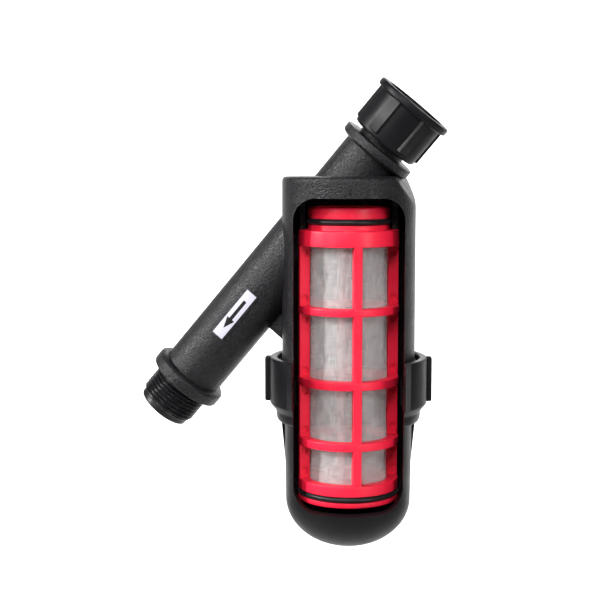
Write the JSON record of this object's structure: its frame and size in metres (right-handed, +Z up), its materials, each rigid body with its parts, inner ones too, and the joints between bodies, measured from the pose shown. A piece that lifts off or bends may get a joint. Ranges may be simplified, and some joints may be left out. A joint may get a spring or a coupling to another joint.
{
  "type": "in-line screen filter",
  "caption": "Y-pattern in-line water filter with screen cartridge, ring nut and domed bowl, cut open at the front to show the cartridge.",
  "frame": {"origin": "where the sloping pipe's axis crosses the filter chamber's upright axis", "axes": "+Z up the chamber, +X towards the inlet, pipe in the XZ plane, window and grip lugs turned 10 degrees from -Y towards +X"},
  "size_m": [0.1726, 0.0864, 0.261],
  "materials": {
    "body_plastic": "grained",
    "smooth_plastic": "satin",
    "red_plastic": "satin",
    "rubber": "satin",
    "screen": "woven",
    "label": "printed"
  },
  "bodies": {
    "body": {"filter_body": "body_plastic", "flow_label": "label", "inlet_gasket": "rubber", "nut_snap_ring": "smooth_plastic"},
    "union_nut": {"inlet_union_nut": "smooth_plastic"},
    "bowl": {"bowl": "smooth_plastic", "bowl_o_ring": "rubber"},
    "ring": {"ring_nut": "smooth_plastic"},
    "cartridge": {"cartridge_frame": "red_plastic", "cartridge_end_cap": "red_plastic", "mesh_sleeve": "screen", "neck_o_ring": "rubber", "foot_o_ring": "rubber"}
  },
  "joints": [
    {"name": "nut_swivel", "type": "hinge", "parent": "body", "child": "union_nut", "pos_m": [0, 0, 0], "axis": [0.6428, 0, 0.766], "continuous": true},
    {"name": "bowl_off", "type": "slide", "parent": "body", "child": "bowl", "axis": [0, 0, -1], "range_m": [0, 0.24]},
    {"name": "ring_turn", "type": "hinge", "parent": "bowl", "child": "ring", "pos_m": [0, 0, 0], "axis": [0, 0, -1], "range_deg": [0, 810]},
    {"name": "cartridge_out", "type": "slide", "parent": "body", "child": "cartridge", "axis": [0, 0, -1], "range_m": [0, 0.12]}
  ],
  "couplings": [
    {"joint": "cartridge_out", "follows": "bowl_off", "ratio": 0.5}
  ]
}
